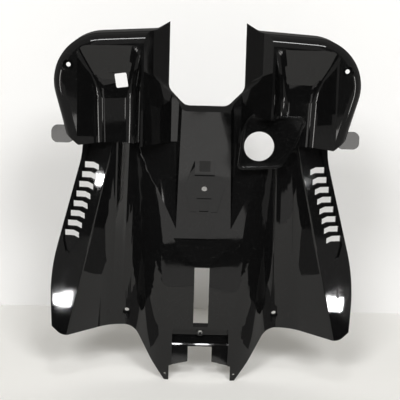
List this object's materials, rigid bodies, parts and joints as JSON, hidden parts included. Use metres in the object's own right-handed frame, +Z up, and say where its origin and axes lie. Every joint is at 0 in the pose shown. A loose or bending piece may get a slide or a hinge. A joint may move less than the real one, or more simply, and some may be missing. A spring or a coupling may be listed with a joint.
{
  "type": "scooter leg shield",
  "caption": "Gloss black moulded inner leg shield for a motor scooter, with knee bowls, leg troughs, louvres, steering column opening and ignition lock panel.",
  "frame": {"origin": "middle of the bounding box's base, level with the tips of the two legs", "axes": "+X to the rider's right, +Y away from the rider, +Z up"},
  "size_m": [0.436, 0.0848, 0.5192],
  "materials": {
    "gloss_black_plastic": "high gloss, moulded"
  },
  "bodies": {
    "root": {"leg_shield": "gloss_black_plastic"}
  },
  "joints": []
}
